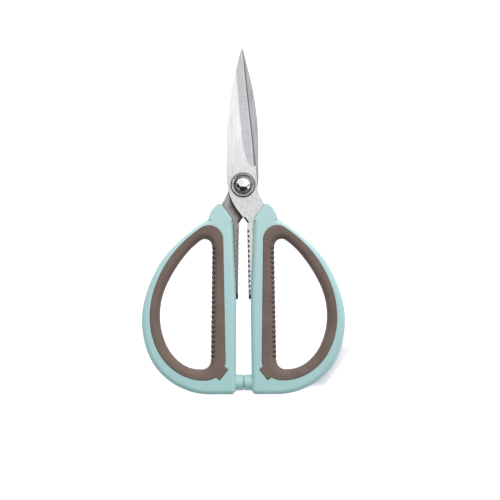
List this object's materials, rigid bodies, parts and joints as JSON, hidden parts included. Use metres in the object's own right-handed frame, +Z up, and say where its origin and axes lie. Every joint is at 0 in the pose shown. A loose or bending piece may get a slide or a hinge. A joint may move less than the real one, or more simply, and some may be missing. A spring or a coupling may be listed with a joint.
{
  "type": "kitchen shears",
  "caption": "Closed kitchen shears with two pivoted steel blades, notched tangs between D-shaped plastic handles with soft ribbed linings, and a knurled dished pivot.",
  "frame": {"origin": "on the resting surface, under the middle of the closed shears' length, on their mirror line", "axes": "+Y from the handles to the blade tips, +Z up from the resting surface through the thickness, +X to the right handle"},
  "size_m": [0.1082, 0.185, 0.0117],
  "materials": {
    "blade_steel": "lengthwise brushed, ground bevel",
    "handle_plastic": "satin moulded",
    "grip_rubber": "soft matt",
    "pivot_chrome": "polished"
  },
  "bodies": {
    "rear_half": {"rear_blade": "blade_steel", "left_handle": "handle_plastic", "left_grip": "grip_rubber", "pivot_rivet": "pivot_chrome", "rear_washer": "pivot_chrome", "front_washer": "pivot_chrome"},
    "front_half": {"front_blade": "blade_steel", "right_handle": "handle_plastic", "right_grip": "grip_rubber"}
  },
  "joints": [
    {"name": "blade_pivot", "type": "hinge", "parent": "rear_half", "child": "front_half", "pos_m": [0, 0.0189, 0.00575], "axis": [0, 0, 1], "range_deg": [0, 80]}
  ]
}
